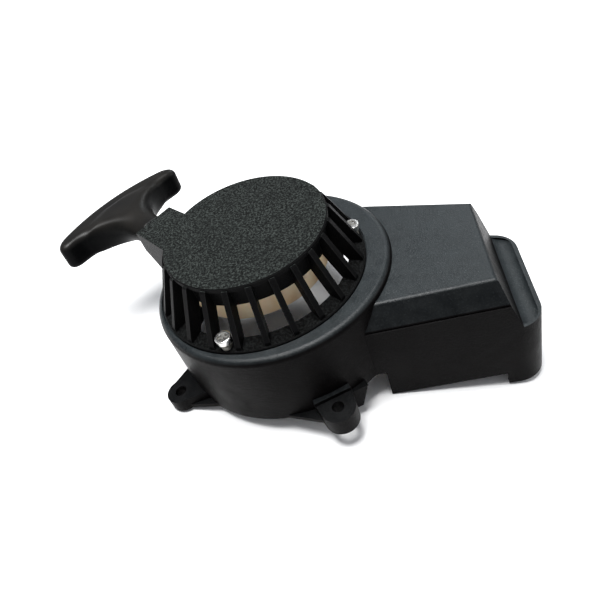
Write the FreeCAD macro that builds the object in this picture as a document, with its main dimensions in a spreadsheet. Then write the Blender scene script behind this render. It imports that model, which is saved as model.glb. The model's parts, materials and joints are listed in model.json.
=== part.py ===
import FreeCAD, Part
import math
import os

import Sketcher
from FreeCAD import Rotation, Vector

# Recoil starter of a 47-49 cc two-stroke engine: a moulded engine shroud with an
# air duct, a finned starter cage screwed on top of it, and inside the cage a
# rope pulley, its recoil spring, a friction plate and two pawls.
# Millimetres.  Origin: crank axis at the foot of the shroud's barrel.
# +Z: along the crank axis, out of the engine.  +X: towards the air duct.

SIZES = [
    # starter cage
    ("disc_r", 45.0, "radius of the cage's top disc"),
    ("disc_top", 79.0, "height of the top disc's face"),
    ("disc_thick", 3.0, "thickness of the top disc"),
    ("cup_r", 43.2, "outer radius of the wall under the disc"),
    ("cup_bore_r", 41.0, "inner radius of that wall"),
    ("cup_foot", 66.0, "lower edge of that wall, top of the windows"),
    ("post_r", 6.0, "radius of the centre post"),
    ("post_foot", 51.4, "free end of the centre post"),
    ("ring_r", 58.6, "outer radius of the cage's base ring"),
    ("ring_bore_r", 50.0, "inner radius of the base ring"),
    ("ring_top_in", 50.2, "height of the base ring at its bore"),
    ("ring_top_out", 48.5, "height of the base ring at its rim"),
    ("fin_count", 24, "number of cage fins"),
    ("fin_first", 4.0, "direction of the first fin, degrees"),
    ("fin_thick", 3.0, "thickness of a fin"),
    ("fin_top", 77.6, "height of a fin's top"),
    ("fin_top_r", 46.2, "radius of a fin's edge at its top"),
    ("fin_foot_r", 57.6, "radius of a fin's edge at its foot"),
    ("screw_circle_r", 54.5, "radius of the circle of cage screws"),
    ("screw_first", 11.5, "direction of the first cage screw, degrees"),
    ("screw_count", 3, "number of cage screws"),
    ("screw_r", 2.0, "radius of a cage screw's thread"),
    ("screw_head_r", 4.3, "radius of a cage screw's head"),
    ("screw_head_tall", 3.0, "height of a cage screw's head"),
    ("sleeve_r", 3.1, "outer radius of a screw sleeve"),
    ("sleeve_top", 53.0, "height of a screw sleeve's top"),
    ("insert_r", 3.4, "outer radius of a threaded insert"),
    ("insert_long", 8.0, "length of a threaded insert"),
    # rope boss, in a frame turned by rope_turn, with its X along the rope
    ("rope_turn", 135.0, "direction in which the rope leaves, degrees"),
    ("rope_side", 19.5, "sideways distance of the rope guide from the axis"),
    ("rope_high", 70.0, "height of the rope"),
    ("rope_r", 1.75, "radius of the rope"),
    ("boss_out", 60.0, "outer face of the rope boss"),
    ("boss_far", 6.0, "far side of the boss"),
    ("boss_core_side", 28.6, "near side of the boss's deep part"),
    ("boss_near_out", 31.0, "near side of the boss at its outer face"),
    ("boss_near_in", 33.1, "near side of the boss at the disc"),
    ("boss_in", 28.0, "inner end of the boss"),
    ("boss_foot_in", 61.5, "height of the boss's underside at the cup"),
    ("boss_foot_out", 69.0, "height of the boss's underside at its outer face"),
    ("flank_foot_out", 65.8, "the same for the thin wall on its near side"),
    ("flank_knee", 50.0, "where that wall's lower edge bends"),
    ("flank_knee_high", 55.9, "height of that bend"),
    ("flank_foot", 49.0, "lower end of that wall, in the base ring"),
    ("collar_r", 9.0, "radius of the round collar of the rope guide"),
    ("guide_r", 6.5, "radius of the rope guide's barrel"),
    ("guide_flange_r", 8.2, "radius of the rope guide's flange"),
    ("guide_in", 53.0, "inner end of the rope guide"),
    ("guide_bore_r", 2.4, "bore of the rope guide"),
    ("guide_proud", 2.2, "how far the guide's flange stands out"),
    # engine shroud
    ("wall", 3.0, "wall of the shroud"),
    ("barrel_r", 67.2, "outer radius of the barrel"),
    ("barrel_x", 4.8, "barrel centre from the crank axis, towards the duct"),
    ("barrel_y", 0.7, "barrel centre from the crank axis, to the far side"),
    ("barrel_top", 47.9, "height of the barrel's flange"),
    ("barrel_round", 3.5, "rounding of the barrel's top edge"),
    ("seat_r", 59.4, "radius of the seat for the cage"),
    ("seat_deep", 1.5, "depth of that seat"),
    ("duct_turn", -1.6, "turn of the duct in plan, degrees"),
    ("duct_near", -48.6, "near wall of the duct"),
    ("duct_in", 34.0, "inner end of the duct's block"),
    ("duct_top", 43.9, "height of the duct's top"),
    ("duct_step", 32.5, "height of the step in the duct's near wall"),
    ("duct_step_wide", 1.1, "width of that step"),
    ("duct_bevel", 9.2, "run of the bevel above the step"),
    ("duct_top_end", 118.5, "end of the duct's top"),
    ("duct_slope_end", 127.9, "foot of the duct's end slope"),
    ("ledge_high", 16.0, "height of the ledge at the duct's end"),
    ("ledge_dish", 1.6, "depth of the dish in the ledge"),
    ("ledge_rim", 2.3, "width of the rim round that dish"),
    ("dish_round", 8.6, "rounding of that dish's outer corners"),
    ("dish_r", 7.8, "radius of the dish's hollow"),
    ("duct_end", 139.6, "outer end wall of the duct"),
    ("duct_far_y", 29.4, "far wall of the duct where duct_far_x is"),
    ("duct_far_x", 99.2, "place along the duct of duct_far_y"),
    ("duct_far_slope", 0.342, "how fast the far wall nears the near wall"),
    ("duct_far_bevel", 4.6, "run of the bevel at the top of the far wall"),
    ("skirt_foot", -19.4, "lower edge of the duct's skirt"),
    ("skirt_in", 55.9, "where the skirt starts"),
    ("skirt_step", 119.0, "where the skirt steps down"),
    ("skirt_end_foot", -28.0, "lower edge of the skirt's end"),
    ("end_round", 14.0, "rounding of the duct's end corners"),
    ("ear_hole_r", 3.3, "radius of the mounting holes"),
    ("ear_top", 8.0, "height of the side ears"),
    ("ear_r", 8.2, "end radius of a side ear"),
    ("ear_root", 14.5, "half width of a side ear at the barrel"),
    ("ear_web_root", 22.5, "reach of its foot web along the barrel"),
    ("ear_web_top", 2.8, "top of that web"),
    ("ear_reach", 77.3, "hole of a side ear from the barrel's centre"),
    ("ear_turn", 211.1, "direction of the near side ear, degrees"),
    ("boss_ear_r", 9.4, "end radius of a front ear"),
    ("boss_ear_foot", -3.0, "lower face of a front ear"),
    ("boss_ear_top", 8.0, "upper face of a front ear"),
    ("boss_ear_root", 11.5, "half width of a front ear at the barrel"),
    ("boss_web_root", 26.5, "reach of its foot web along the barrel"),
    ("boss_web_top", 2.4, "top of that web"),
    ("curb_reach", 69.6, "outer face of the curb behind a front ear"),
    ("curb_half", 10.3, "half the length of that curb"),
    ("curb_top", 10.2, "top of that curb"),
    ("tab_reach", 68.4, "outer face of the tab beside a front ear"),
    ("tab_foot", -10.0, "lower end of that tab"),
    ("tab_top", 4.0, "upper end of that tab"),
    ("tab_in", 8.0, "near edge of that tab"),
    ("tab_out_top", 19.5, "far edge of that tab at its top"),
    ("tab_out_foot", 13.8, "far edge of that tab at its foot"),
    ("boss_ear_reach", 75.6, "hole of a front ear from the barrel's centre"),
    ("boss_ear_turn", 287.8, "direction of the near front ear, degrees"),
    # pulley and what turns with it
    ("bush_r", 8.0, "outer radius of the centre bush"),
    ("bush_foot", 56.0, "lower end of the bush and the pulley's hub"),
    ("bush_top", 75.4, "upper end of the bush"),
    ("run_gap", 0.05, "radial clearance of a running fit"),
    ("pulley_r", 39.4, "outer radius of the pulley"),
    ("pulley_foot", 51.4, "lower edge of the pulley's rim"),
    ("pulley_top", 74.6, "top face of the pulley"),
    ("rim_thick", 2.9, "thickness of the pulley's rim"),
    ("hub_r", 12.5, "radius of the pulley's hub"),
    ("web_foot", 60.5, "underside of the pulley's web"),
    ("web_top", 63.0, "top of the pulley's web"),
    ("drum_r", 20.6, "radius of the rope drum"),
    ("spring_room_r", 17.6, "radius of the room for the recoil spring"),
    ("groove_wide", 4.1, "width of the rope groove"),
    ("rope_turns", 4, "turns of rope on the pulley"),
    ("rope_pitch", 3.6, "radial distance between two turns of rope"),
    ("rope_top_r", 36.9, "radius of the outermost turn"),
    ("pin_circle_r", 17.5, "radius of the circle of pawl pins"),
    ("pin_r", 2.0, "radius of a pawl pin"),
    ("pawl_foot", 56.2, "underside of a pawl"),
    ("pawl_top", 60.2, "top of a pawl"),
    ("pawl_long", 15.0, "pin to nose of a pawl"),
    ("pawl_wide", 3.4, "half width of a pawl at its pin"),
    ("pawl_turn", -100.0, "direction of a folded pawl at the first pin, degrees"),
    ("peg_r", 1.3, "radius of the peg under a pawl"),
    ("peg_at", 8.25, "pin to peg of a pawl"),
    ("slot_in_y", -8.1, "inner end of a friction plate's slot"),
    ("slot_out_y", -15.7, "outer end of a friction plate's slot"),
    ("slot_x", 16.1, "sideways place of that slot"),
    ("slot_r", 2.2, "half width of that slot"),
    ("plate_foot", 51.6, "underside of the friction plate"),
    ("plate_thick", 1.4, "thickness of the friction plate"),
    ("plate_r", 28.0, "radius of the friction plate"),
    ("washer_r", 11.0, "radius of the centre washer"),
    ("washer_thick", 1.5, "thickness of the centre washer"),
    ("centre_head_r", 4.6, "radius of the centre screw's head"),
    ("centre_head_tall", 3.0, "height of the centre screw's head"),
    # pull handle, in the rope's frame, with its own X along the rope
    ("handle_in", 63.0, "end of the handle's stem"),
    ("handle_mid", 98.0, "seat of the knot and middle of the handle's bar"),
    ("handle_half", 43.0, "half the length of the bar"),
    ("handle_tall", 18.0, "height of the bar"),
    ("handle_out", 110.4, "outermost point of the bar's bowed back"),
    ("handle_bow", 9.2, "how much less far the back reaches at its ends"),
    ("handle_front", 93.5, "front of the bar, under the fingers"),
    ("handle_edge", 4.0, "rounding of the bar's long edges"),
    ("handle_corner", 3.0, "rounding of the bar's upright corners"),
    ("handle_flare", 18.0, "size of the hollow between the bar and its stem"),
    ("handle_roll", 2.0, "roll of the handle about the rope, degrees"),
    ("stem_r", 7.2, "radius of the stem at its end"),
    ("stem_root_r", 8.8, "radius of the stem at the bar"),
    ("knot_r", 3.6, "radius of the knot in the handle"),
    ("knot_room_r", 4.3, "radius of the room for that knot"),
    ("drum_knot_r", 2.9, "radius of the knot in the pulley"),
    ("drum_knot_at", 21.2, "radius of the circle on which that knot lies"),
]


class Size:
    """A number together with the spreadsheet expression that it comes from."""

    def __init__(self, value, text):
        self.value = value
        self.text = text

    def _join(self, other, sign, value, turned=False):
        text = other.text if isinstance(other, Size) else repr(float(other))
        first, second = (text, self.text) if turned else (self.text, text)
        return Size(value, "(%s %s %s)" % (first, sign, second))

    def __add__(self, other):
        return self._join(other, "+", self.value + number(other))

    def __radd__(self, other):
        return self._join(other, "+", number(other) + self.value, True)

    def __sub__(self, other):
        return self._join(other, "-", self.value - number(other))

    def __rsub__(self, other):
        return self._join(other, "-", number(other) - self.value, True)

    def __mul__(self, other):
        return self._join(other, "*", self.value * number(other))

    def __rmul__(self, other):
        return self._join(other, "*", number(other) * self.value, True)

    def __truediv__(self, other):
        return self._join(other, "/", self.value / number(other))

    def __neg__(self):
        return Size(-self.value, "(-1 * %s)" % self.text)


def number(item):
    """The plain value of a Size or of a number."""
    return item.value if isinstance(item, Size) else float(item)


class Sizes:
    """The spreadsheet's cells, each as a Size under its alias."""


doc = FreeCAD.newDocument("recoil_starter")
sheet = doc.addObject("Spreadsheet::Sheet", "Dims")
d = Sizes()
for row, (alias, value, meaning) in enumerate(SIZES, start=1):
    sheet.set("A%d" % row, meaning)
    sheet.set("B%d" % row, repr(value))
    sheet.setAlias("B%d" % row, alias)
    setattr(d, alias, Size(float(value), "Dims.%s" % alias))
doc.recompute()


# ---------------------------------------------------------------- helpers

def bind(item, prop, size):
    """Give a property its value and, for a Size, its expression."""
    if isinstance(size, Size):
        item.setExpression(prop, size.text)
    else:
        setattr(item, prop, size)


def place(item, x=0, y=0, z=0, turn=None, axis=Vector(0, 0, 1)):
    """Set a Placement; turn is in degrees about axis."""
    base = Vector(number(x), number(y), number(z))
    angle = number(turn) if turn is not None else 0
    item.Placement = FreeCAD.Placement(base, Rotation(axis, angle))
    for prop, size in (("x", x), ("y", y), ("z", z)):
        if isinstance(size, Size):
            item.setExpression("Placement.Base." + prop, size.text)
    if isinstance(turn, Size):
        item.setExpression("Placement.Rotation.Angle", turn.text)
    return item


def plane(body, role):
    """One of a body's own origin planes."""
    for feature in body.Origin.OriginFeatures:
        if feature.Role == role:
            return feature
    raise ValueError(role)


def polygon(body, name, role, points, lift=0):
    """A sketch of one closed polygon; every corner is held by two distances."""
    sketch = body.newObject("Sketcher::SketchObject", name)
    sketch.AttachmentSupport = (plane(body, role), [""])
    sketch.MapMode = "FlatFace"
    if isinstance(lift, Size):
        sketch.setExpression("AttachmentOffset.Base.z", lift.text)
    corners = [Vector(number(x), number(y), 0) for x, y in points]
    count = len(corners)
    for i in range(count):
        line = Part.LineSegment(corners[i], corners[(i + 1) % count])
        sketch.addGeometry(line, False)
    for i in range(count):
        joint = Sketcher.Constraint("Coincident", i, 2, (i + 1) % count, 1)
        sketch.addConstraint(joint)
    for i, corner in enumerate(points):
        for kind, axis_line, size in (("DistanceX", -2, corner[0]),
                                      ("DistanceY", -1, corner[1])):
            if number(size) == 0:
                hold = Sketcher.Constraint("PointOnObject", i, 1, axis_line)
                sketch.addConstraint(hold)
                continue
            hold = Sketcher.Constraint(kind, -1, 1, i, 1, number(size))
            index = sketch.addConstraint(hold)
            if isinstance(size, Size):
                sketch.setExpression("Constraints[%d]" % index, size.text)
    return sketch


def turned(name, points):
    """A body of revolution about Z, from its (radius, height) profile."""
    body = doc.addObject("PartDesign::Body", name)
    sketch = polygon(body, name + "_profile", "XZ_Plane", points)
    feature = body.newObject("PartDesign::Revolution", name + "_turn")
    feature.Profile = sketch
    feature.ReferenceAxis = (sketch, ["V_Axis"])
    feature.Angle = 360
    sketch.Visibility = False
    return body


def padded(name, role, points, length, lift=0, middle=False, back=False):
    """A body padded from a polygon on one of its origin planes."""
    body = doc.addObject("PartDesign::Body", name)
    sketch = polygon(body, name + "_outline", role, points, lift)
    feature = body.newObject("PartDesign::Pad", name + "_pad")
    feature.Profile = sketch
    bind(feature, "Length", length)
    if middle:
        feature.SideType = "Symmetric"
    feature.Reversed = back
    return body


def cylinder(name, radius, height, x=0, y=0, z=0):
    item = doc.addObject("Part::Cylinder", name)
    bind(item, "Radius", radius)
    bind(item, "Height", height)
    return place(item, x, y, z)


def rope_cylinder(name, radius, start, length):
    """A cylinder round the rope's line, in the rope's own frame."""
    item = doc.addObject("Part::Cylinder", name)
    bind(item, "Radius", radius)
    bind(item, "Height", length)
    return place(item, start, d.rope_side, d.rope_high, 90, Vector(0, 1, 0))


def block(name, long, wide, tall, x=0, y=0, z=0):
    item = doc.addObject("Part::Box", name)
    bind(item, "Length", long)
    bind(item, "Width", wide)
    bind(item, "Height", tall)
    return place(item, x, y, z)


def fuse(name, items):
    item = doc.addObject("Part::MultiFuse", name)
    item.Shapes = items
    item.Refine = True
    return item


def cut(name, base, tool):
    item = doc.addObject("Part::Cut", name)
    item.Base = base
    item.Tool = tool
    item.Refine = True
    return item


def common(name, items):
    item = doc.addObject("Part::MultiCommon", name)
    item.Shapes = items
    item.Refine = True
    return item


def rounded(name, base, radius, chosen):
    """Round the edges of base that chosen picks."""
    doc.recompute()
    size = number(radius)
    edges = []
    for index, edge in enumerate(base.Shape.Edges, start=1):
        if chosen(edge):
            edges.append((index, size, size))
    item = doc.addObject("Part::Fillet", name)
    item.Base = base
    item.Edges = edges
    return item


def bevelled(name, base, run, drop, chosen):
    """Bevel the edges that chosen picks: run across the top, drop down the wall."""
    doc.recompute()
    edges = []
    for index, edge in enumerate(base.Shape.Edges, start=1):
        if chosen(edge):
            edges.append((index, number(drop), number(run)))
    item = doc.addObject("Part::Chamfer", name)
    item.Base = base
    item.Edges = edges
    return item


def is_upright(edge):
    """A straight edge along Z."""
    box = edge.BoundBox
    return box.XLength < 0.01 and box.YLength < 0.01 and box.ZLength > 1


def is_level_at(edge, height):
    """An edge that lies wholly at one height."""
    box = edge.BoundBox
    return abs(box.ZMin - height) < 0.01 and abs(box.ZMax - height) < 0.01


def group(name, items):
    """Separate solids of one node."""
    item = doc.addObject("Part::Compound", name)
    item.Links = items
    return item


def around(radius, first, count, index):
    """X and Y of one of count places on a circle about Z, as Sizes."""
    angle = "(%s + %d * 360 / %s) * 1deg" % (first.text, index, count.text)
    turn = math.radians(first.value + index * 360.0 / count.value)
    east = Size(radius.value * math.cos(turn), "(%s * cos(%s))" % (radius.text, angle))
    north = Size(radius.value * math.sin(turn), "(%s * sin(%s))" % (radius.text, angle))
    return east, north


NODES = []


def node(item, label):
    """Make an object one of the starter's pieces."""
    item.Label = label
    NODES.append(item)
    return item


# ---------------------------------------------------------------- shroud

def duct_solid(name, inset, foot):
    """The duct's solid: inset is 0 for its outside and the wall for its inside."""
    near = d.duct_near + inset
    top = d.duct_top - inset
    end = d.duct_end - inset
    ledge = d.ledge_high - inset
    # seen along the duct: near wall, step, bevel and top
    across = padded(name + "_across", "YZ_Plane", [
        (near, foot),
        (near, d.duct_step - 0.4),
        (near + d.duct_step_wide, d.duct_step),
        (near + d.duct_step_wide * 0.45, d.duct_step + 0.7),
        (near + d.duct_bevel, top),
        (d.barrel_r, top),
        (d.barrel_r, foot),
    ], end)
    # seen from the side: top, end slope and ledge
    side = padded(name + "_side", "XZ_Plane", [
        (d.duct_in, foot),
        (end, foot),
        (end, ledge),
        (d.duct_slope_end - inset, ledge),
        (d.duct_top_end - inset, top),
        (d.duct_in, top),
    ], d.barrel_r * 4, middle=True)
    # seen from above: the far wall nears the near wall towards the end
    wall_y = d.duct_far_y + d.duct_far_bevel - inset
    far_in = wall_y + (d.duct_far_x - d.duct_in) * d.duct_far_slope
    far_end = wall_y + (d.duct_far_x - end) * d.duct_far_slope
    plan = padded(name + "_plan", "XY_Plane", [
        (d.duct_in, near),
        (end, near),
        (end, far_end),
        (d.duct_in, far_in),
    ], d.duct_top * 4, middle=True)
    corner_x = number(end)
    plan_round = rounded(
        name + "_plan_round", plan, d.end_round - inset,
        lambda edge: is_upright(edge) and edge.BoundBox.XMin > corner_x - 0.1)
    body = common(name + "_square", [across, side, plan_round])
    # the far wall leans in above the step, as the near one does
    top_edge = number(top)
    return bevelled(name, body, d.duct_far_bevel, d.duct_top - d.duct_step,
                    lambda edge: is_level_at(edge, top_edge)
                    and edge.BoundBox.XLength > 20 and edge.BoundBox.YMin > 0
                    and edge.BoundBox.YLength > 1)


def ear(name, reach, turn, end_r, foot, top, root):
    """A lug that tapers from the barrel to a rounded end about its hole."""
    lug = padded(name + "_web", "XY_Plane", [
        (d.barrel_r - 6, -root),
        (reach, -end_r),
        (reach, end_r),
        (d.barrel_r - 6, root),
    ], top - foot, foot)
    tip = cylinder(name + "_tip", end_r, top - foot, reach, 0, foot)
    return place(fuse(name, [lug, tip]), d.barrel_x, d.barrel_y, 0, turn)


def ear_web(name, turn, root, end_r, reach, foot, top):
    """A thin web from the barrel to one side of an ear; root has its sign."""
    side = -1 if number(root) < 0 else 1
    web = padded(name, "XY_Plane", [
        (d.barrel_r - 6, 0),
        (d.barrel_r - 6, root),
        (reach, end_r * side * 0.98),
        (reach, 0),
    ], top - foot, foot)
    return place(web, d.barrel_x, d.barrel_y, 0, turn)


def ear_curb(name, turn):
    """The low curb between a front ear's face and the barrel."""
    curb = block(name, d.curb_reach - d.barrel_r + 4, d.curb_half * 2, d.curb_top,
                 d.barrel_r - 4, -d.curb_half, 0)
    moved = group(name + "_turned", [curb])
    return place(moved, d.barrel_x, d.barrel_y, 0, turn)


def ear_tab(name, turn, side):
    """The tab that hangs beside a front ear, on the duct's side."""
    tab = padded(name, "YZ_Plane", [
        (d.tab_in * side, d.tab_foot),
        (d.tab_out_foot * side, d.tab_foot),
        (d.tab_out_top * side, d.tab_top),
        (d.tab_in * side, d.tab_top),
    ], d.tab_reach - d.barrel_r + 5, d.barrel_r - 5)
    return place(tab, d.barrel_x, d.barrel_y, 0, turn)


def ear_hole(name, reach, turn, foot, tall):
    hole = cylinder(name + "_bore", d.ear_hole_r, tall, reach, 0, foot)
    return place(group(name, [hole]), d.barrel_x, d.barrel_y, 0, turn)


def make_shroud():
    barrel = cylinder("barrel", d.barrel_r, d.barrel_top, d.barrel_x, d.barrel_y)
    top_edge = d.barrel_top.value
    barrel_round = rounded(
        "barrel_round", barrel, d.barrel_round, lambda e: is_level_at(e, top_edge))
    barrel_room = cylinder("barrel_room", d.barrel_r - d.wall, d.barrel_top - d.wall + 40,
                           d.barrel_x, d.barrel_y, -40)

    duct = duct_solid("duct_skin", 0, d.skirt_end_foot)
    duct_edge = d.duct_top.value
    duct_round = rounded("duct_skin_round", duct, 2.4,
                         lambda e: is_level_at(e, duct_edge) and e.BoundBox.XMax > 60)
    skirt_clear = block("skirt_clear", d.skirt_step, 200, 30, 0, -100, d.skirt_foot - 30)
    skirt_notch = block("skirt_notch", d.skirt_in, 200, 60, 0, -100, -60)
    duct_trim = cut("duct_trimmed", duct_round,
                    fuse("skirt_tools", [skirt_clear, skirt_notch]))
    place(duct_trim, turn=d.duct_turn)
    duct_room = duct_solid("duct_room", d.wall, d.skirt_end_foot - 1)
    place(duct_room, turn=d.duct_turn)

    # the dish in the ledge leaves a rim along the end wall and both sides
    dish_end = d.duct_end - d.ledge_rim
    dish_far = (d.duct_far_y + d.duct_far_bevel
                + (d.duct_far_x - d.duct_slope_end) * d.duct_far_slope)
    dish_plan = padded("ledge_dish_plan", "XY_Plane", [
        (d.duct_slope_end, d.duct_near + d.ledge_rim),
        (dish_end, d.duct_near + d.ledge_rim),
        (dish_end, dish_far - d.ledge_rim * 2.5),
        (d.duct_slope_end, dish_far - d.ledge_rim),
    ], 10, d.ledge_high - d.ledge_dish)
    dish_round = rounded("ledge_dish_round", dish_plan, d.dish_round,
                         lambda edge: is_upright(edge)
                         and edge.BoundBox.XMin > dish_end.value - 0.1)
    hollow = place(cylinder("ledge_hollow", d.dish_r, d.barrel_r * 4), 0,
                   d.barrel_r * 2, 0, 90, Vector(1, 0, 0))
    hollow_moved = place(group("ledge_hollow_moved", [hollow]),
                         (d.duct_slope_end + dish_end) / 2, 0,
                         d.ledge_high - d.ledge_dish + d.dish_r)
    dish = place(common("ledge_dish", [dish_round, hollow_moved]), turn=d.duct_turn)

    ears = []
    holes = []
    for side, sign in (("near", 1), ("far", -1)):
        side_turn = d.ear_turn if sign > 0 else 360 - d.ear_turn
        front_turn = d.boss_ear_turn if sign > 0 else 360 - d.boss_ear_turn
        ears.append(ear(side + "_side_ear", d.ear_reach, side_turn, d.ear_r, 0,
                        d.ear_top, d.ear_root))
        ears.append(ear_web(side + "_side_web", side_turn, d.ear_web_root * sign,
                            d.ear_r, d.ear_reach, 0, d.ear_web_top))
        ears.append(ear(side + "_front_ear", d.boss_ear_reach, front_turn,
                        d.boss_ear_r, d.boss_ear_foot, d.boss_ear_top,
                        d.boss_ear_root))
        ears.append(ear_web(side + "_front_web", front_turn, d.boss_web_root * -sign,
                            d.boss_ear_r, d.boss_ear_reach, 0, d.boss_web_top))
        ears.append(ear_curb(side + "_front_curb", front_turn))
        ears.append(ear_tab(side + "_front_tab", front_turn, sign))
        holes.append(ear_hole(side + "_side_hole", d.ear_reach, side_turn, -1, 20))
        holes.append(ear_hole(side + "_front_hole", d.boss_ear_reach, front_turn,
                              d.boss_ear_foot - 1, 30))

    bosses = []
    for i in range(int(d.screw_count.value)):
        x, y = around(d.screw_circle_r, d.screw_first, d.screw_count, i)
        foot = d.barrel_top - d.seat_deep - d.insert_long - 2
        bosses.append(cylinder("insert_boss_%d" % i, d.insert_r + 1.9,
                               d.insert_long + 2, x, y, foot))
        holes.append(cylinder("insert_hole_%d" % i, d.insert_r, d.insert_long + 3,
                              x, y, foot - 1))

    skin = fuse("shroud_skin", [barrel_round, duct_trim] + ears)
    room = fuse("shroud_room", [barrel_room, duct_room])
    shell = fuse("shroud_shell", [cut("shroud_hollow", skin, room)] + bosses)
    seat = cylinder("cage_seat", d.seat_r, 20, 0, 0, d.barrel_top - d.seat_deep)
    mouth = cylinder("cage_mouth", d.ring_bore_r, 60, 0, 0, 10)
    tools = fuse("shroud_tools", [seat, mouth, dish] + holes)
    node(cut("shroud", shell, tools), "engine_shroud")


# ---------------------------------------------------------------- starter cage

def make_cage():
    # disc, the wall under it and the centre post
    cup = turned("cage_cup", [
        (0, d.post_foot),
        (d.post_r, d.post_foot),
        (d.post_r, d.disc_top - d.disc_thick),
        (d.cup_bore_r, d.disc_top - d.disc_thick),
        (d.cup_bore_r, d.cup_foot),
        (d.cup_r, d.cup_foot),
        (d.cup_r, d.disc_top - d.disc_thick - 0.6),
        (d.disc_r, d.disc_top - d.disc_thick + 0.6),
        (d.disc_r, d.disc_top - 0.5),
        (d.disc_r - 0.5, d.disc_top),
        (0, d.disc_top),
    ])
    ring = turned("cage_ring", [
        (d.ring_bore_r, d.barrel_top - d.seat_deep),
        (d.ring_r, d.barrel_top - d.seat_deep),
        (d.ring_r, d.ring_top_out - 0.4),
        (d.ring_r - 0.4, d.ring_top_out),
        (d.ring_r - 1.2, d.ring_top_out),
        (d.ring_bore_r + 0.5, d.ring_top_in),
        (d.ring_bore_r, d.ring_top_in - 0.4),
    ])
    doc.recompute()
    # one fin, from the wall under the disc down to the base ring, then all of them
    sketch = polygon(ring, "fin_profile", "XZ_Plane", [
        (d.cup_r - 1, d.cup_foot + 1),
        (d.ring_bore_r + 0.6, d.ring_top_in - 1),
        (d.fin_foot_r, d.ring_top_in - 2.2),
        (d.fin_foot_r, d.ring_top_in + 0.4),
        (d.fin_top_r, d.fin_top - 0.8),
        (d.fin_top_r - 0.7, d.fin_top),
        (d.cup_r - 1, d.fin_top),
    ])
    fin = ring.newObject("PartDesign::Pad", "fin")
    fin.Profile = sketch
    bind(fin, "Length", d.fin_thick)
    fin.SideType = "Symmetric"
    doc.recompute()
    fins = ring.newObject("PartDesign::PolarPattern", "fins")
    fins.Originals = [fin]
    fins.Axis = (sketch, ["V_Axis"])
    fins.Angle = 360
    bind(fins, "Occurrences", d.fin_count)
    ring.Tip = fins
    place(ring, turn=d.fin_first)

    # rope boss: a block beside the disc, with a round collar for the guide
    core_side = padded("boss_core_side", "XZ_Plane", [
        (d.boss_in, d.boss_foot_in),
        (d.boss_out, d.boss_foot_out),
        (d.boss_out, d.disc_top - 0.6),
        (d.boss_out - 0.6, d.disc_top),
        (d.boss_in, d.disc_top),
    ], 100, middle=True)
    core_plan = block("boss_core_plan", d.boss_out, d.boss_core_side - d.boss_far, 100,
                      0, d.boss_far, 0)
    # the wall on the boss's near side reaches down to the base ring
    flank_side = padded("boss_flank_side", "XZ_Plane", [
        (d.boss_in, d.cup_foot),
        (d.ring_bore_r - 11.4, d.flank_foot),
        (d.flank_knee - 3.5, d.flank_foot),
        (d.flank_knee, d.flank_knee_high),
        (d.boss_out, d.flank_foot_out),
        (d.boss_out, d.disc_top - 0.6),
        (d.boss_out - 0.6, d.disc_top),
        (d.boss_in, d.disc_top),
    ], 100, middle=True)
    flank_plan = padded("boss_flank_plan", "XY_Plane", [
        (d.boss_in, d.boss_core_side - 0.5),
        (d.boss_out, d.boss_core_side - 0.5),
        (d.boss_out, d.boss_near_out),
        (d.boss_in, d.boss_near_in),
    ], 100, 0)
    boss = [common("boss_core", [core_side, core_plan]),
            common("boss_flank", [flank_side, flank_plan])]
    collar = rope_cylinder("collar", d.collar_r, d.guide_in - 5, d.boss_out - d.guide_in + 5)
    boss_all = place(fuse("rope_boss", boss + [collar]), turn=d.rope_turn)

    # room for the rope, and the bore and seat of the guide
    channel = block("channel", d.guide_in - 20, d.boss_near_out - d.boss_far - 9, 6.4,
                    20, d.boss_far + 8.2, d.rope_high - 3.2)
    guide_bore = rope_cylinder("guide_bore", d.guide_r, d.guide_in, 20)
    inner = cylinder("cup_room", d.cup_bore_r,
                     d.disc_top - d.disc_thick - d.cup_foot + 10, 0, 0, d.cup_foot - 10)
    post_keep = cylinder("post_keep", d.post_r, 60, 0, 0, 40)
    rope_tools = place(fuse("rope_tools", [channel, guide_bore]), turn=d.rope_turn)
    pilot = cylinder("post_pilot", 2.5, 14, 0, 0, d.post_foot)
    tools = [cut("cup_hollow", inner, post_keep), rope_tools, pilot]
    for i in range(int(d.screw_count.value)):
        x, y = around(d.screw_circle_r, d.screw_first, d.screw_count, i)
        tools.append(cylinder("ring_hole_%d" % i, d.sleeve_r, 10, x, y, 44))
    cage = fuse("cage_solid", [cup, ring, boss_all])
    node(cut("cage", cage, fuse("cage_tools", tools)), "starter_cage")


# ---------------------------------------------------------------- fasteners

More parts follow.
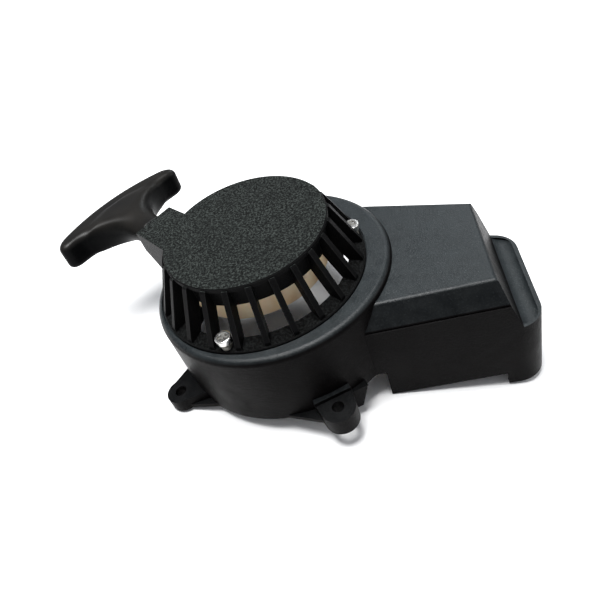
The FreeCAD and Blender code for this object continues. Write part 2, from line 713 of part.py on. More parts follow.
def make_fasteners():
    screws, sleeves, inserts = [], [], []
    seat = d.barrel_top - d.seat_deep
    for i in range(int(d.screw_count.value)):
        x, y = around(d.screw_circle_r, d.screw_first, d.screw_count, i)
        head = cylinder("head_%d" % i, d.screw_head_r, d.screw_head_tall,
                        x, y, d.sleeve_top)
        head_top = d.sleeve_top + d.screw_head_tall
        head_round = rounded("head_round_%d" % i, head, 0.6,
                             lambda e: is_level_at(e, head_top.value))
        shank = cylinder("shank_%d" % i, d.screw_r, d.sleeve_top - seat + 7,
                         x, y, seat - 7)
        slots = []
        for name, long, wide in (("slot_a", 5.4, 1.3), ("slot_b", 1.3, 5.4)):
            slots.append(block("%s_%d" % (name, i), long, wide, 5, x - long / 2,
                               y - wide / 2, head_top - 1.7))
        slots.append(cylinder("slot_mid_%d" % i, 2.9, 5, x, y, head_top - 0.6))
        screws.append(cut("screw_%d" % i, fuse("screw_solid_%d" % i, [head_round, shank]),
                          fuse("cross_%d" % i, slots)))
        tube = cylinder("tube_%d" % i, d.sleeve_r, d.sleeve_top - seat, x, y, seat)
        collar = doc.addObject("Part::Cone", "tube_collar_%d" % i)
        bind(collar, "Radius1", d.sleeve_r)
        bind(collar, "Radius2", d.screw_head_r - 0.3)
        bind(collar, "Height", d.sleeve_top - d.ring_top_in - 0.1)
        place(collar, x, y, d.ring_top_in + 0.1)
        tube_bore = cylinder("tube_bore_%d" % i, d.screw_r + 0.15, 20, x, y, seat - 1)
        sleeves.append(cut("sleeve_%d" % i, fuse("sleeve_solid_%d" % i, [tube, collar]),
                           tube_bore))
        nut = cylinder("nut_%d" % i, d.insert_r, d.insert_long, x, y, seat - d.insert_long)
        nut_bore = cylinder("nut_bore_%d" % i, d.screw_r, 20, x, y, seat - 10)
        inserts.append(cut("insert_%d" % i, nut, nut_bore))
    node(group("screws", screws), "cage_screws")
    node(group("sleeves", sleeves), "screw_sleeves")
    node(group("inserts", inserts), "threaded_inserts")

    head_foot = d.post_foot - d.washer_thick - d.centre_head_tall
    head = cylinder("centre_head", d.centre_head_r, d.centre_head_tall, 0, 0, head_foot)
    head_round = rounded("centre_head_round", head, 1.2,
                         lambda e: is_level_at(e, head_foot.value))
    shank = cylinder("centre_shank", 2.5, d.washer_thick + 12, 0, 0,
                     d.post_foot - d.washer_thick)
    socket = doc.addObject("Part::Prism", "centre_socket")
    socket.Polygon = 6
    socket.Circumradius = 2.3
    socket.Height = 3
    place(socket, 0, 0, head_foot - 1.2)
    node(cut("centre_screw_cut", fuse("centre_screw_solid", [head_round, shank]), socket),
         "centre_screw")
    washer = cylinder("washer_disc", d.washer_r, d.washer_thick, 0, 0,
                      d.post_foot - d.washer_thick)
    washer_bore = cylinder("washer_bore", 2.7, 5, 0, 0, d.post_foot - 3)
    node(cut("washer", washer, washer_bore), "centre_washer")
    bush = cylinder("bush_tube", d.bush_r, d.bush_top - d.bush_foot, 0, 0, d.bush_foot)
    bush_bore = cylinder("bush_bore", d.post_r, 40, 0, 0, d.bush_foot - 5)
    node(cut("bush", bush, bush_bore), "centre_bush")


# ---------------------------------------------------------------- rope guide

def make_guide():
    barrel = rope_cylinder("guide_barrel", d.guide_r, d.guide_in, d.boss_out - d.guide_in)
    flange = rope_cylinder("guide_flange", d.guide_flange_r, d.boss_out, d.guide_proud)
    bore = rope_cylinder("guide_hole", d.guide_bore_r, d.guide_in - 1, 20)
    mouths = []
    reach = d.boss_out + d.guide_proud
    for name, start, wide, narrow in (
            ("mouth_out", reach - 2.4, d.guide_bore_r, d.guide_bore_r + 2.4),
            ("mouth_in", d.guide_in, d.guide_bore_r + 2.4, d.guide_bore_r)):
        cone = doc.addObject("Part::Cone", name)
        bind(cone, "Radius1", wide)
        bind(cone, "Radius2", narrow)
        cone.Height = 2.4
        place(cone, start, d.rope_side, d.rope_high, 90, Vector(0, 1, 0))
        mouths.append(cone)
    solid = cut("guide_cut", fuse("guide_solid", [barrel, flange]),
                fuse("guide_tools", [bore] + mouths))
    node(place(solid, turn=d.rope_turn), "rope_guide")


# ---------------------------------------------------------------- pulley

def rope_geometry():
    """Where the rope leaves the pulley and where it bends, in the part's frame."""
    turn = math.radians(d.rope_turn.value)
    along = Vector(math.cos(turn), math.sin(turn), 0)
    side = Vector(-math.sin(turn), math.cos(turn), 0)
    bend = along * (d.guide_in.value - 3) + side * d.rope_side.value
    radius = d.rope_top_r.value
    bend_turn = math.atan2(bend.y, bend.x)
    leave_turn = bend_turn + math.acos(radius / bend.Length)
    leave = Vector(radius * math.cos(leave_turn), radius * math.sin(leave_turn), 0)
    return along, side, bend, leave, leave_turn


def drum_knot_place():
    """The knot lies just behind the inner end of the wound rope."""
    leave_turn = rope_geometry()[4]
    turn = leave_turn + (d.drum_knot_r.value + 0.4) / d.drum_knot_at.value
    return d.drum_knot_at * math.cos(turn), d.drum_knot_at * math.sin(turn)


def make_pulley():
    groove_foot = d.rope_high - d.groove_wide / 2
    groove_top = d.rope_high + d.groove_wide / 2
    wheel = turned("pulley_wheel", [
        (d.bush_r + d.run_gap, d.bush_foot),
        (d.hub_r, d.bush_foot),
        (d.hub_r, d.web_foot),
        (d.pulley_r - d.rim_thick, d.web_foot),
        (d.pulley_r - d.rim_thick, d.pulley_foot),
        (d.pulley_r - 0.6, d.pulley_foot),
        (d.pulley_r, d.pulley_foot + 0.6),
        (d.pulley_r, groove_foot - 0.5),
        (d.pulley_r - 0.5, groove_foot),
        (d.drum_r, groove_foot),
        (d.drum_r, groove_top),
        (d.pulley_r - 0.5, groove_top),
        (d.pulley_r, groove_top + 0.5),
        (d.pulley_r, d.pulley_top - 0.6),
        (d.pulley_r - 0.6, d.pulley_top),
        (d.spring_room_r, d.pulley_top),
        (d.spring_room_r, d.web_top),
        (d.bush_r + d.run_gap, d.web_top),
    ])
    pins = [around(d.pin_circle_r, Size(0.0, "0"), Size(2.0, "2"), i) for i in range(2)]
    holes = [cylinder("pin_hole_%d" % i, d.pin_r, d.web_top - d.web_foot + 1,
                      x, y, d.web_foot - 1)
             for i, (x, y) in enumerate(pins)]
    # the knot of the rope's inner end lies in a well beside the drum
    knot_x, knot_y = drum_knot_place()
    holes.append(cylinder("knot_well", d.drum_knot_r + 0.1, 20, knot_x, knot_y,
                          d.rope_high - d.drum_knot_r - 0.3))
    node(cut("pulley", wheel, fuse("pulley_tools", holes)), "rope_pulley")
    knot = doc.addObject("Part::Sphere", "drum_knot")
    bind(knot, "Radius", d.drum_knot_r)
    node(place(knot, knot_x, knot_y, d.rope_high), "pulley_knot")
    posts, clips = [], []
    for i, (x, y) in enumerate(pins):
        posts.append(cylinder("pawl_post_%d" % i, d.pin_r, d.web_top - d.pawl_foot + 1,
                              x, y, d.pawl_foot - 1))
        clip = cylinder("clip_disc_%d" % i, d.pin_r + 1.6, 0.7, x, y, d.pawl_foot - 0.8)
        hole = cylinder("clip_hole_%d" % i, d.pin_r, 5, x, y, d.pawl_foot - 3)
        gap = block("clip_gap_%d" % i, 4, 2.2, 5, x, y - 1.1, d.pawl_foot - 3)
        clips.append(cut("clip_%d" % i, clip, fuse("clip_tools_%d" % i, [hole, gap])))
    node(group("posts", posts), "pawl_pins")
    node(group("clips", clips), "pawl_clips")


def arc_wire(points):
    """A wire of arcs through points, three at a time."""
    edges = []
    for i in range(0, len(points) - 2, 2):
        edges.append(Part.Arc(points[i], points[i + 1], points[i + 2]).toShape())
    return Part.Wire(edges)


def spiral_points(start_r, pitch, turns, start_turn, height, per_turn=12):
    """Points of a flat spiral that grows by pitch a turn, clockwise outwards."""
    points = []
    for i in range(int(turns * per_turn) + 1):
        part = i / per_turn
        radius = start_r + pitch * part
        turn = start_turn - 2 * math.pi * part
        points.append(Vector(radius * math.cos(turn), radius * math.sin(turn), height))
    return points


def swept_band(points, thick, foot, tall):
    """A strip standing on edge: the line through points, thick wide, tall high."""
    inner, outer = [], []
    for point in points:
        out = Vector(point.x, point.y, 0).normalize() * (thick / 2)
        inner.append(Vector(point.x, point.y, foot) - out)
        outer.append(Vector(point.x, point.y, foot) + out)
    rails = [arc_wire(inner).Edges, arc_wire(outer).Edges]
    ends = [Part.LineSegment(inner[0], outer[0]).toShape(),
            Part.LineSegment(inner[-1], outer[-1]).toShape()]
    wire = Part.Wire(Part.__sortEdges__(rails[0] + rails[1] + ends))
    return Part.Face(wire).extrude(Vector(0, 0, tall))


def make_spring():
    thick = 0.6
    inner_r = d.bush_r.value + 0.5
    outer_r = d.spring_room_r.value - 0.5
    turns = 8
    points = spiral_points(inner_r, (outer_r - inner_r) / turns, turns, 0.3, 0)
    foot = d.web_top.value + 0.8
    tall = 8.0
    spring = doc.addObject("Part::Feature", "spring")
    spring.Shape = swept_band(points, thick, foot, tall)
    node(spring, "recoil_spring")


def rope_tube(name, start_edges, start, direction):
    """A round rope along tangent edges."""
    path = Part.Wire(start_edges)
    circle = Part.makeCircle(d.rope_r.value, start, direction)
    tube = path.makePipeShell([Part.Wire(circle)], True, True)
    item = doc.addObject("Part::Feature", name)
    item.Shape = tube
    length = path.Length
    drift = abs(tube.Volume / (math.pi * d.rope_r.value ** 2 * length) - 1)
    print("%s: %.1f mm long, volume off by %.2f%%" % (name, length, 100 * drift))
    return item


def make_rope():
    along, side, bend, leave, leave_turn = rope_geometry()
    lift = Vector(0, 0, d.rope_high.value)
    # the wound rope: half turns about two centres by turns, each tangent to the
    # next; the outermost ends where the rope leaves the pulley
    quarter = d.rope_pitch / 4
    halves = []
    for k in range(int(d.rope_turns.value) * 2):
        half = doc.addObject("Part::Torus", "half_turn_%d" % k)
        bind(half, "Radius1", d.rope_top_r - quarter * (2 * k + 1))
        bind(half, "Radius2", d.rope_r)
        half.Angle3 = 180
        shift = quarter if k % 2 == 0 else quarter * -1
        halves.append(place(half, shift, 0, d.rope_high, 0 if k % 2 == 0 else 180))
    coil = place(fuse("coil", halves), turn=math.degrees(leave_turn))
    node(coil, "rope_coil")

    # the stretch from the pulley through the guide, with one bend behind it
    run = (bend - leave).normalize()
    bend_r = 12.0
    turn = run.getAngle(along)
    reach = bend_r * math.tan(turn / 2)
    clear_of_coil = 17.0
    start = leave + run * clear_of_coil + lift
    arc_start = bend - run * reach + lift
    arc_end = bend + along * reach + lift
    toward = (along - run).normalize()
    arc_mid = bend + lift + toward * (bend_r / math.cos(turn / 2) - bend_r)
    end = along * (d.handle_in.value - 0.3) + side * d.rope_side.value + lift
    edges = [Part.LineSegment(start, arc_start).toShape(),
             Part.Arc(arc_start, arc_mid, arc_end).toShape(),
             Part.LineSegment(arc_end, end).toShape()]
    node(rope_tube("lead", edges, start, run), "rope_lead")

    # the end inside the handle, up to its knot
    tail_end = along * (d.handle_mid.value + 6) + side * d.rope_side.value + lift
    tail = rope_tube("tail", [Part.LineSegment(end, tail_end).toShape()], end, along)
    node(tail, "rope_tail")


# ---------------------------------------------------------------- pawls

def make_pawls():
    for i, letter in enumerate("ab"):
        body = padded("pawl_arm_" + letter, "XY_Plane", [
            (0, 0 - d.pawl_wide),
            (d.pawl_long * 0.55, 0 - d.pawl_wide * 0.8),
            (d.pawl_long, 0 - d.pawl_wide * 0.55),
            (d.pawl_long, d.pawl_wide * 0.25),
            (d.pawl_long * 0.5, d.pawl_wide),
            (0, d.pawl_wide),
        ], d.pawl_top - d.pawl_foot, d.pawl_foot)
        eye = cylinder("pawl_eye_" + letter, d.pawl_wide, d.pawl_top - d.pawl_foot,
                       0, 0, d.pawl_foot)
        peg = cylinder("pawl_peg_" + letter, d.peg_r, 4.4, d.peg_at, 0,
                       d.pawl_foot - 4.1)
        bore = cylinder("pawl_bore_" + letter, d.pin_r + d.run_gap, 20, 0, 0,
                        d.pawl_foot - 5)
        solid = cut("pawl_cut_" + letter, fuse("pawl_solid_" + letter, [body, eye, peg]),
                    bore)
        # folded, the pawl lies along the circle of the pins, nose leading
        sign = 1 if i == 0 else -1
        place(solid, d.pin_circle_r * sign, 0, 0, d.pawl_turn + 180.0 * i)
        node(solid, "pawl_" + letter)


def make_friction_plate():
    foot = d.plate_foot
    disc = cylinder("plate_disc", d.plate_r, d.plate_thick, 0, 0, foot)
    bore = cylinder("plate_bore", d.post_r + d.run_gap, 10, 0, 0, foot - 5)
    tools = [bore]
    for i in range(2):
        slot = fuse("plate_slot_%d" % i, [
            block("slot_middle_%d" % i, d.slot_r * 2, d.slot_in_y - d.slot_out_y, 10,
                  d.slot_x - d.slot_r, d.slot_out_y, foot - 5),
            cylinder("slot_near_%d" % i, d.slot_r, 10, d.slot_x, d.slot_in_y, foot - 5),
            cylinder("slot_away_%d" % i, d.slot_r, 10, d.slot_x, d.slot_out_y, foot - 5),
        ])
        tools.append(place(slot, turn=180.0 * i))
    node(cut("plate", disc, fuse("plate_tools", tools)), "friction_plate")

    # friction spring: a crimped ring between the plate and the pulley's hub
    low = d.plate_foot + d.plate_thick + 0.1
    ring = cylinder("wave_ring", d.post_r + 3.4, 0.6, 0, 0, low)
    hole = cylinder("wave_hole", d.post_r + 0.6, 5, 0, 0, low - 1)
    parts = [ring]
    for i in range(3):
        x, y = around(d.post_r + 2, Size(0.0, "0"), Size(3.0, "3"), i)
        parts.append(cylinder("wave_%d" % i, 1.3, d.bush_foot - low - 0.1, x, y, low))
    node(cut("wave", fuse("wave_solid", parts), hole), "friction_spring")


# ---------------------------------------------------------------- pull handle

def make_handle():
    stem = doc.addObject("Part::Cone", "stem")
    bind(stem, "Radius1", d.stem_r)
    bind(stem, "Radius2", d.stem_root_r)
    bind(stem, "Height", d.handle_mid - d.handle_in)
    place(stem, d.handle_in, 0, 0, 90, Vector(0, 1, 0))
    # the bar seen from above: a bowed back, and a hollow each side of the stem
    half_plan = []
    for part in (0.0, 0.28, 0.54, 0.78, 1.0):
        half_plan.append((d.handle_out - d.handle_bow * part ** 2, d.handle_half * part))
    half_plan.append((d.handle_front, d.handle_half))
    for degrees in (0, 22, 44, 66):
        turn = math.radians(degrees)
        half_plan.append((d.handle_front - d.handle_flare * (1 - math.cos(turn)),
                          d.stem_root_r - 0.8 + d.handle_flare * (1 - math.sin(turn))))
    mirrored = [(x, -y) for x, y in reversed(half_plan[1:])]
    bar = padded("bar", "XY_Plane", half_plan + mirrored, d.handle_tall, middle=True)
    half_tall = d.handle_tall.value / 2
    end = d.handle_half.value
    front_foot = number(half_plan[-1][0])
    corners = rounded("bar_corners", bar, d.handle_corner,
                      lambda e: is_upright(e) and abs(abs(e.BoundBox.YMin) - end) < 0.1)
    bar_round = rounded("bar_round", corners, d.handle_edge,
                        lambda e: (is_level_at(e, half_tall) or is_level_at(e, -half_tall))
                        and e.BoundBox.XMax > front_foot + 0.01)
    solid = fuse("handle_solid", [stem, bar_round])
    mid = d.handle_mid
    bore = handle_cylinder("handle_bore", d.rope_r + 0.25, d.handle_in - 5, 60)
    pocket = handle_cylinder("knot_pocket", d.knot_room_r, mid - 3, 30)
    hollow = cut("handle_cut", solid, fuse("handle_tools", [bore, pocket]))
    to_rope_frame("pull_handle", hollow)

    washer = cut("knot_washer",
                 handle_cylinder("knot_washer_disc", d.knot_room_r - 0.2, mid - 3, 0.8),
                 handle_cylinder("knot_washer_bore", d.rope_r + 0.2, mid - 4, 5))
    to_rope_frame("handle_washer", washer)
    ball = doc.addObject("Part::Sphere", "knot_ball")
    bind(ball, "Radius", d.knot_r)
    place(ball, mid - 2.1 + d.knot_r)
    knot = cut("knot_tied", ball, handle_cylinder("knot_bore", d.rope_r, mid - 10, 30))
    to_rope_frame("handle_knot", knot)
    cap = handle_cylinder("cap_disc", d.knot_room_r, d.handle_out - 2.9, 2.2)
    to_rope_frame("handle_cap", cap)


def handle_cylinder(name, radius, start, length):
    """A cylinder round the handle's own axis."""
    item = doc.addObject("Part::Cylinder", name)
    bind(item, "Radius", radius)
    bind(item, "Height", length)
    return place(item, start, 0, 0, 90, Vector(0, 1, 0))


def to_rope_frame(label, item):
    """Roll a piece of the handle about the rope and move it to the rope's line."""
    rolled = place(group(label + "_rolled", [item]), turn=d.handle_roll,
                   axis=Vector(1, 0, 0))
    moved = place(group(label + "_moved", [rolled]), 0, d.rope_side, d.rope_high)
    node(place(group(label + "_turned", [moved]), turn=d.rope_turn), label)


make_shroud()
make_cage()
make_fasteners()
make_guide()
make_pulley()
make_spring()
make_rope()
make_pawls()
make_friction_plate()
make_handle()
doc.recompute()

for item in doc.Objects:
    if "Invalid" in item.State or "Error" in item.State:
        raise RuntimeError("%s is not built: %s" % (item.Label, item.State))
for item in NODES:
    shape = item.Shape
    if shape.isNull() or not shape.isValid():
        raise RuntimeError("%s has no valid shape" % item.Label)

os.makedirs("parts", exist_ok=True)
for item in NODES:
    item.Shape.exportStep("parts/%s.step" % item.Label)
    print("%-18s %d solids %10.1f mm3" % (
        item.Label, len(item.Shape.Solids), item.Shape.Volume))
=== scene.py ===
import json
import math

import bpy
import numpy as np
import openvdb
from mathutils import Matrix, Vector


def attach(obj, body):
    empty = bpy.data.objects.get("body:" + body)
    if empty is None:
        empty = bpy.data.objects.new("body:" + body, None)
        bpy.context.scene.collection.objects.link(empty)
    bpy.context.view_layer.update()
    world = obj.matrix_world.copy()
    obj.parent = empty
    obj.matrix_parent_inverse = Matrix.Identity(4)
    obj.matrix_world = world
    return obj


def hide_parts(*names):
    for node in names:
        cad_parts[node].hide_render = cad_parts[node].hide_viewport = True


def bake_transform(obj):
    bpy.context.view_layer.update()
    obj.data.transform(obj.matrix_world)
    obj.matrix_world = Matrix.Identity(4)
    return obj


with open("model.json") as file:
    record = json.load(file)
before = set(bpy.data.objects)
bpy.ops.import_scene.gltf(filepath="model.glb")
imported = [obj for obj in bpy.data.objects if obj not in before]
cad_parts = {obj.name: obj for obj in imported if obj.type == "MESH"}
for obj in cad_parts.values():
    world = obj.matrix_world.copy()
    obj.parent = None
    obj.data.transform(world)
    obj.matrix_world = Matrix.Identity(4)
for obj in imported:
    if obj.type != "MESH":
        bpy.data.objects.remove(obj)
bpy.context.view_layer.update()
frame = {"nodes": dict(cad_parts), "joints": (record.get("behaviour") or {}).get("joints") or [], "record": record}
record = frame["record"]
MOUNTS = {m["name"]: m for m in record["mounts"]}
JOINTS = {j["name"]: j for j in frame["joints"]}
MM = 0.001

# a Mix node's sockets for colours: the first ones are for plain numbers
MIX_COLOUR_A, MIX_COLOUR_B, MIX_COLOUR_RESULT = 6, 7, 2


# ---------------------------------------------------------------- node helpers

class Shader:
    """A material's node tree, built from left to right."""

    def __init__(self, name):
        self.material = bpy.data.materials.new(name)
        self.material.use_nodes = True
        self.tree = self.material.node_tree
        self.bsdf = self.tree.nodes["Principled BSDF"]
        self.place = self.new("ShaderNodeTexCoord").outputs["Object"]

    def new(self, kind, **settings):
        item = self.tree.nodes.new(kind)
        for key, value in settings.items():
            setattr(item, key, value)
        return item

    def link(self, source, target):
        self.tree.links.new(source, target)

    def put(self, value, target):
        """A socket's value: a number, a colour (made opaque) or another node's output."""
        if isinstance(value, bpy.types.NodeSocket):
            self.link(value, target)
        elif isinstance(value, tuple) and len(value) < len(target.default_value):
            target.default_value = (*value, 1.0)
        else:
            target.default_value = value

    def noise(self, size, detail=3.0, rough=0.5, distort=0.0, stretch=None):
        """Noise whose blobs are about size metres across."""
        item = self.new("ShaderNodeTexNoise")
        item.inputs["Scale"].default_value = 1.0 / size
        item.inputs["Detail"].default_value = detail
        item.inputs["Roughness"].default_value = rough
        item.inputs["Distortion"].default_value = distort
        self.link(self.stretched(stretch), item.inputs["Vector"])
        return item.outputs["Fac"]

    def stretched(self, stretch):
        """The object's own coordinates, scaled along X, Y and Z."""
        if stretch is None:
            return self.place
        mapping = self.new("ShaderNodeMapping")
        mapping.inputs["Scale"].default_value = stretch
        self.link(self.place, mapping.inputs["Vector"])
        return mapping.outputs["Vector"]

    def ramp(self, fac, low, high, start=0.0, end=1.0):
        """low to high as fac goes from start to end; numbers or colours."""
        item = self.new("ShaderNodeMapRange", clamp=True)
        self.put(fac, item.inputs["Value"])
        item.inputs["From Min"].default_value = start
        item.inputs["From Max"].default_value = end
        if isinstance(low, (int, float)):
            item.inputs["To Min"].default_value = low
            item.inputs["To Max"].default_value = high
            return item.outputs["Result"]
        return self.mix(item.outputs["Result"], low, high)

    def mix(self, fac, first, second):
        """The first colour where fac is 0, the second where it is 1."""
        item = self.new("ShaderNodeMix", data_type="RGBA")
        self.put(fac, item.inputs["Factor"])
        self.put(first, item.inputs[MIX_COLOUR_A])
        self.put(second, item.inputs[MIX_COLOUR_B])
        return item.outputs[MIX_COLOUR_RESULT]

    def math(self, operation, first, second=0.0):
        item = self.new("ShaderNodeMath", operation=operation)
        self.put(first, item.inputs[0])
        self.put(second, item.inputs[1])
        return item.outputs[0]

    def bump(self, height, depth, before=None):
        """Relief: height goes from 0 to 1 over depth metres."""
        item = self.new("ShaderNodeBump")
        item.inputs["Strength"].default_value = 1.0
        item.inputs["Distance"].default_value = depth
        self.put(height, item.inputs["Height"])
        if before is not None:
            self.link(before, item.inputs["Normal"])
        return item.outputs["Normal"]

    def sharp_edges(self, radius):
        """1 where a face turns sharply within radius metres, 0 on flat faces."""
        bevel = self.new("ShaderNodeBevel", samples=6)
        bevel.inputs["Radius"].default_value = radius
        plain = self.new("ShaderNodeNewGeometry").outputs["Normal"]
        dot = self.new("ShaderNodeVectorMath", operation="DOT_PRODUCT")
        self.link(bevel.outputs["Normal"], dot.inputs[0])
        self.link(plain, dot.inputs[1])
        return self.ramp(dot.outputs["Value"], 1.0, 0.0, 0.75, 0.99)

    def share(self, vector, axis):
        """A vector's part along X, Y or Z."""
        item = self.new("ShaderNodeSeparateXYZ")
        self.link(vector, item.inputs[0])
        return item.outputs[axis]

    def facing(self, axis):
        """The surface normal's share along X, Y or Z."""
        return self.share(self.new("ShaderNodeNewGeometry").outputs["Normal"], axis)

    def along(self, axis):
        """Where the surface point is along X, Y or Z, in metres."""
        return self.share(self.place, axis)

    def finish(self, colour, rough, metal=0.0, specular=0.5, normal=None):
        self.put(colour, self.bsdf.inputs["Base Color"])
        self.put(rough, self.bsdf.inputs["Roughness"])
        self.put(metal, self.bsdf.inputs["Metallic"])
        self.put(specular, self.bsdf.inputs["Specular IOR Level"])
        if normal is not None:
            self.link(normal, self.bsdf.inputs["Normal"])
        return self.material


# ---------------------------------------------------------------- materials

GROOVE_HEIGHT = 32.5 * MM        # of the groove in the duct's near wall
STRAND_SCALE = 180.0             # of the bands that draw the rope's strands


def shroud_plastic():
    """Black glass-filled nylon: satin where it lies level, duller on upright walls. Level faces are painted
    lighter, as painted light with painted glints, and upright walls darker, as painted shade.
    """
    s = Shader("shroud_plastic")
    grain = s.noise(0.0009, 3.0, 0.7)
    mottle = s.noise(0.007, 5.0, 0.62)
    flow = s.noise(0.045, 3.0, 0.5, 1.5)
    level = s.ramp(s.facing("Z"), 0.0, 1.0, 0.46, 0.98)
    clouds = s.ramp(mottle, 0.0, 1.0, 0.32, 0.7)
    # level faces: a lit copy of the colour, painted light
    lit_tops = s.mix(clouds, (0.0052, 0.0076, 0.0088), (0.0104, 0.0142, 0.0158))
    # lighter specks on the grain's peaks, on level faces only: painted glints
    glint_specks = s.ramp(grain, 0.0, 1.0, 0.56, 0.70)
    lit_tops = s.mix(glint_specks, lit_tops, (0.026, 0.032, 0.034))
    # upright walls: a darker, shaded copy of the colour, painted shade
    shaded_walls = s.mix(clouds, (0.0010, 0.0008, 0.0009), (0.0027, 0.0023, 0.0023))
    # the groove in the duct's wall takes the shaded wall colour and less gloss, as painted shade in the crease;
    # the lugs at the foot, below 9 to 13 mm, take the darker wall colour and less gloss
    height = s.along("Z")
    from_groove = s.math("ABSOLUTE", s.math("SUBTRACT", height, GROOVE_HEIGHT))
    not_lug_or_groove = s.math("MULTIPLY", s.ramp(height, 0.15, 1.0, 0.009, 0.013),
                   s.ramp(from_groove, 0.0, 1.0, 0.0010, 0.0014))
    gloss = s.math("MULTIPLY", level, not_lug_or_groove)
    # the lit copy where the surface lies level, the shaded copy on walls: painted light and shade
    colour = s.mix(gloss, shaded_walls, lit_tops)
    rough = s.math("ADD", s.ramp(mottle, 0.32, 0.46, 0.3, 0.7),
                   s.ramp(flow, -0.06, 0.07, 0.35, 0.65))
    normal = s.bump(grain, 0.00022)
    normal = s.bump(mottle, 0.00016, normal)
    return s.finish(colour, rough, specular=s.ramp(gloss, 0.03, 0.28), normal=normal)


def cage_plastic():
    """Black nylon: coarse spark texture on level faces, finer elsewhere. The texture's peaks are painted light as
    painted highlights, the ring low between the fins is painted darker as painted shade, and sharp edges on the
    sides carry painted highlights.
    """
    s = Shader("cage_plastic")
    lumps = s.noise(0.0011, 3.0, 0.85)
    patches = s.noise(0.012, 3.0, 0.5)
    grit = s.noise(0.0006, 3.0, 0.6)
    level = s.ramp(s.facing("Z"), 0.0, 1.0, 0.80, 0.93)
    high = s.ramp(s.along("Z"), 0.0, 1.0, 0.060, 0.070)
    # the spark texture's peaks are painted light: painted highlights
    peak_highlights = s.ramp(lumps, 0.0, 1.0, 0.47, 0.60)
    lit_tops = s.mix(peak_highlights, (0.0030, 0.0035, 0.0033), (0.050, 0.058, 0.054))
    lit_tops = s.mix(s.ramp(patches, 0.0, 0.25, 0.35, 0.65), lit_tops, (0.008, 0.009, 0.009))
    # the ring low between the fins: a darker copy of the level colour, painted shade
    shaded_rings = s.mix(peak_highlights, (0.0004, 0.0004, 0.0004), (0.011, 0.012, 0.012))
    sides = s.mix(s.ramp(grit, 0.0, 1.0, 0.3, 0.7), (0.0014, 0.0014, 0.0015),
                  (0.0046, 0.0046, 0.0048))
    # sharp edges on the sides painted lighter: painted highlights
    edge = s.math("MULTIPLY", s.sharp_edges(0.0005), 0.55)
    sides = s.mix(edge, sides, (0.030, 0.031, 0.030))
    colour = s.mix(level, sides, s.mix(high, shaded_rings, lit_tops))
    rough = s.ramp(level, 0.42, 0.70)
    coarse = s.math("MULTIPLY", lumps, level)
    normal = s.bump(coarse, 0.0015)
    normal = s.bump(grit, 0.00012, normal)
    gloss = s.ramp(level, 0.03, 0.07)
    return s.finish(colour, rough, specular=gloss, normal=normal)


def handle_plastic():
    """Smooth black moulding with a soft sheen and faint handling marks; faces turned up are painted lighter and
    the sides darker, as painted light and shade.
    """
    s = Shader("handle_plastic")
    cloud = s.noise(0.016, 4.0, 0.55, 0.5)
    fine = s.noise(0.0009, 3.0, 0.6)
    level = s.ramp(s.facing("Z"), 0.0, 1.0, 0.1, 0.7)
    clouds = s.ramp(cloud, 0.0, 1.0, 0.3, 0.7)
    # faces turned up: a lit copy, painted light; the sides: a shaded copy, painted shade
    lit_tops = s.mix(clouds, (0.0040, 0.0038, 0.0034), (0.0080, 0.0070, 0.0058))
    sides = s.mix(clouds, (0.0014, 0.0016, 0.0018), (0.0030, 0.0032, 0.0034))
    colour = s.mix(level, sides, lit_tops)
    rough = s.ramp(cloud, 0.34, 0.46, 0.3, 0.7)
    return s.finish(colour, rough, specular=s.ramp(level, 0.04, 0.16),
                    normal=s.bump(fine, 0.00004))


def guide_plastic():
    """Black rope guide, with faint rub marks along the rope."""
    s = Shader("guide_plastic")
    rub = s.noise(0.0012, 3.0, 0.6, stretch=(1.0, 1.0, 3.0))
    return s.finish((0.006, 0.006, 0.006), s.ramp(rub, 0.22, 0.4), normal=s.bump(rub, 0.00003))


def pulley_nylon():
    """Natural nylon, cream, a little browned by dust."""
    s = Shader("pulley_nylon")
    stain = s.noise(0.012, 4.0, 0.6, 0.6)
    grain = s.noise(0.0010, 3.0, 0.6)
    dusty, clean = (0.92, 0.66, 0.38), (0.98, 0.82, 0.58)
    colour = s.mix(s.ramp(stain, 0.0, 1.0, 0.3, 0.72), dusty, clean)
    s.put(0.15, s.bsdf.inputs["Subsurface Weight"])
    s.put((0.004, 0.0025, 0.001), s.bsdf.inputs["Subsurface Radius"])
    s.put(0.6, s.bsdf.inputs["Subsurface Scale"])
    return s.finish(colour, s.ramp(grain, 0.38, 0.55), specular=0.45,
                    normal=s.bump(grain, 0.00006))


def metal(name, colour, dark, rough, turned):
    """Plated or turned metal, with fine marks and dull patches."""
    s = Shader(name)
    stretch = (1.0, 1.0, 8.0) if turned else None
    marks = s.noise(0.0006, 4.0, 0.65, stretch=stretch)
    patch = s.noise(0.004, 3.0, 0.6)
    edge = s.sharp_edges(0.0003)
    base = s.mix(s.ramp(patch, 0.0, 1.0, 0.35, 0.7), dark, colour)
    bright = tuple(min(1.0, c * 1.15) for c in colour)
    base = s.mix(s.math("MULTIPLY", edge, 0.6), base, bright)
    return s.finish(base, s.ramp(marks, rough - 0.07, rough + 0.10), metal=1.0,
                    normal=s.bump(marks, 0.00003))


